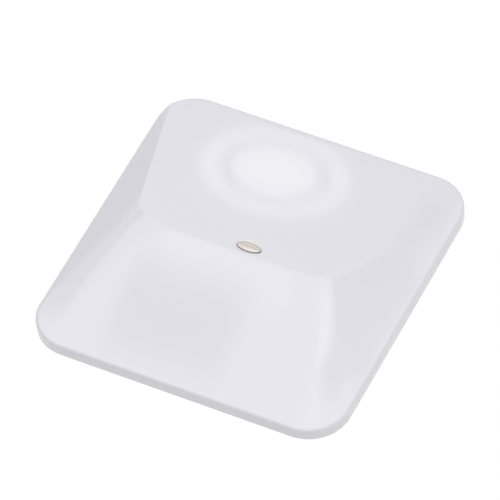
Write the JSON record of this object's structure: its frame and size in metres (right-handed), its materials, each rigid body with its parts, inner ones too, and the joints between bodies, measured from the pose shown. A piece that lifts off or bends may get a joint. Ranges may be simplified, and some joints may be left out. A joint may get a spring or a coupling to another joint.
{
  "type": "fire sprinkler head",
  "caption": "Flush wall-mounted open fire sprinkler head: square ridged push-fit cover over a slotted fan-spray tip, with a brass body and pipe thread behind.",
  "frame": {"origin": "on the wall plane, at the back of the wall gasket, on the spray axis", "axes": "+Z out of the wall into the room along the spray axis, +X along the cover's ridge and the spray tip's slot, +Y across the ridge towards the wide flat face"},
  "size_m": [0.086, 0.086, 0.0476],
  "materials": {
    "cover_plastic": "white moulded ABS, satin gloss",
    "zinc_steel": "bright zinc plate on steel",
    "gasket_foam": "closed-cell neoprene foam",
    "black_rubber": "moulded rubber",
    "brass": "machined brass",
    "nickel_plate": "nickel plate on machined brass",
    "stainless": "stainless steel",
    "red_fibre": "pressed vulcanised fibre",
    "acetal": "machined acetal"
  },
  "bodies": {
    "base": {"mounting_plate": "zinc_steel", "wall_gasket": "gasket_foam", "grommet_lower_left": "black_rubber", "grommet_lower_right": "black_rubber", "grommet_upper_left": "black_rubber", "grommet_upper_right": "black_rubber", "fixing_screw_left": "zinc_steel", "fixing_screw_right": "zinc_steel", "nozzle_body": "brass", "flange_gasket": "red_fibre", "lock_washer": "stainless", "lock_nut": "brass", "inlet_washer": "red_fibre", "spray_tip": "nickel_plate", "tip_nut": "brass", "tip_o_ring": "black_rubber", "flow_disc": "stainless", "strainer_ring": "acetal", "strainer": "stainless", "check_spring": "stainless", "valve_seat": "brass", "seat_o_ring": "black_rubber", "retaining_ring": "stainless"},
    "cover": {"face_cover": "cover_plastic"},
    "valve": {"check_poppet": "acetal", "poppet_seal": "black_rubber"}
  },
  "joints": [
    {"name": "cover_pull", "type": "slide", "parent": "base", "child": "cover", "axis": [0, 0, 1], "range_m": [0, 0.025]},
    {"name": "valve_lift", "type": "slide", "parent": "base", "child": "valve", "axis": [0, 0, 1], "range_m": [0, 0.0015], "stiffness_N_per_m": 700, "springref_m": -0.0015, "deforming": ["check_spring"]}
  ]
}
